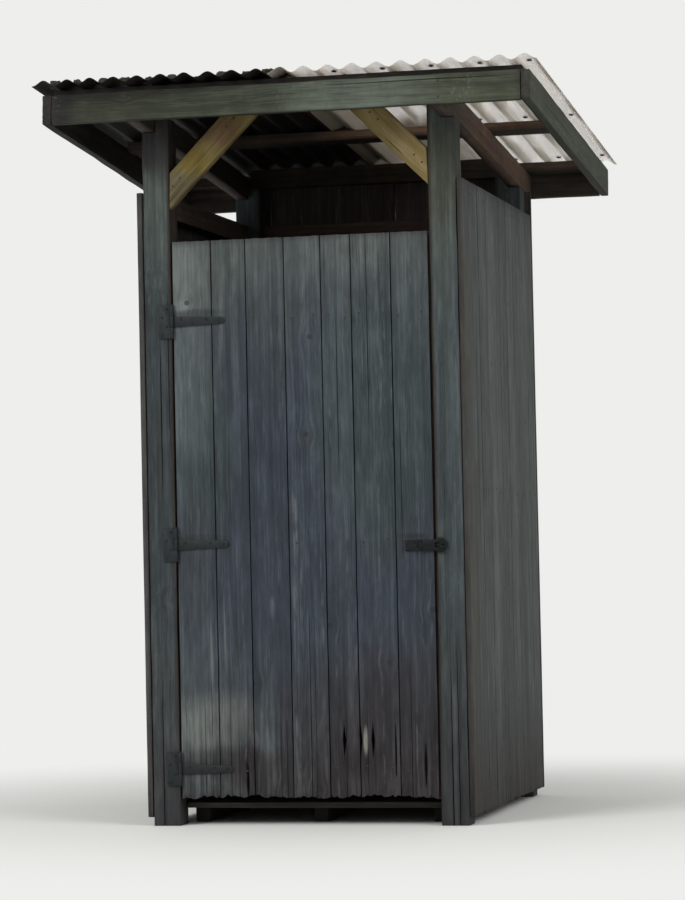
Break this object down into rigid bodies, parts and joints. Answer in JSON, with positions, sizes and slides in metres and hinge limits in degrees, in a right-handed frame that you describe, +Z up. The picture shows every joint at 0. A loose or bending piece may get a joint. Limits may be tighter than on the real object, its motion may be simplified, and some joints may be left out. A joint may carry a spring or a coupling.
{
  "type": "wooden outhouse",
  "caption": "Small boarded timber outhouse with a ledged door on tee hinges, an open vent over the door and a lean-to corrugated roof on knee braces.",
  "frame": {"origin": "on the ground under the middle of the roof's outline", "axes": "+Z up; the door is in the front, which faces -Y; the roof falls towards +Y; +X is to the right as seen from the front"},
  "size_m": [1.596, 1.5918, 2.3319],
  "materials": {
    "timber_frame": "rough sawn, weathered grey with a green film",
    "timber_inner": "rough sawn, aged brown",
    "timber_brace": "rough sawn, less weathered",
    "timber_boards": "rough sawn, weathered grey",
    "timber_door": "rough sawn, weathered blue-grey, rotted at the foot",
    "timber_floor": "worn, rough sawn",
    "roof_iron": "dull, dark, with rust and moss",
    "roof_clear": "translucent, aged",
    "hinge_steel": "rusted dark"
  },
  "bodies": {
    "building": {"post_front_left": "timber_frame", "post_front_right": "timber_frame", "post_rear_left": "timber_frame", "post_rear_right": "timber_frame", "front_beam": "timber_inner", "rear_beam": "timber_inner", "rafter_left": "timber_inner", "rafter_right": "timber_inner", "knee_brace_left": "timber_brace", "knee_brace_right": "timber_brace", "front_purlin": "timber_inner", "middle_purlin": "timber_inner", "rear_purlin": "timber_inner", "fascia_front": "timber_frame", "fascia_rear": "timber_frame", "barge_left": "timber_frame", "barge_right": "timber_frame", "roof_sheet_iron": "roof_iron", "roof_sheet_clear": "roof_clear", "left_wall_boards": "timber_boards", "right_wall_boards": "timber_boards", "rear_wall_boards": "timber_boards", "left_wall_rails": "timber_inner", "right_wall_rails": "timber_inner", "rear_wall_rails": "timber_inner", "floor_boards": "timber_floor", "floor_bearers": "timber_floor", "door_stop": "timber_frame", "hinge_plate_top": "hinge_steel", "hinge_plate_middle": "hinge_steel", "hinge_plate_low": "hinge_steel", "hinge_pins": "hinge_steel", "latch_staple": "hinge_steel"},
    "door": {"door_boards": "timber_door", "door_ledge_top": "timber_door", "door_ledge_middle": "timber_door", "door_ledge_low": "timber_door", "door_brace_upper": "timber_door", "door_brace_lower": "timber_door", "hinge_strap_top": "hinge_steel", "hinge_strap_middle": "hinge_steel", "hinge_strap_low": "hinge_steel", "hasp_leaf": "hinge_steel", "hasp_strap": "hinge_steel"}
  },
  "joints": [
    {"name": "door_swing", "type": "hinge", "parent": "building", "child": "door", "pos_m": [-0.4125, -0.607, 0.877], "axis": [0, 0, -1], "range_deg": [0, 120]}
  ]
}
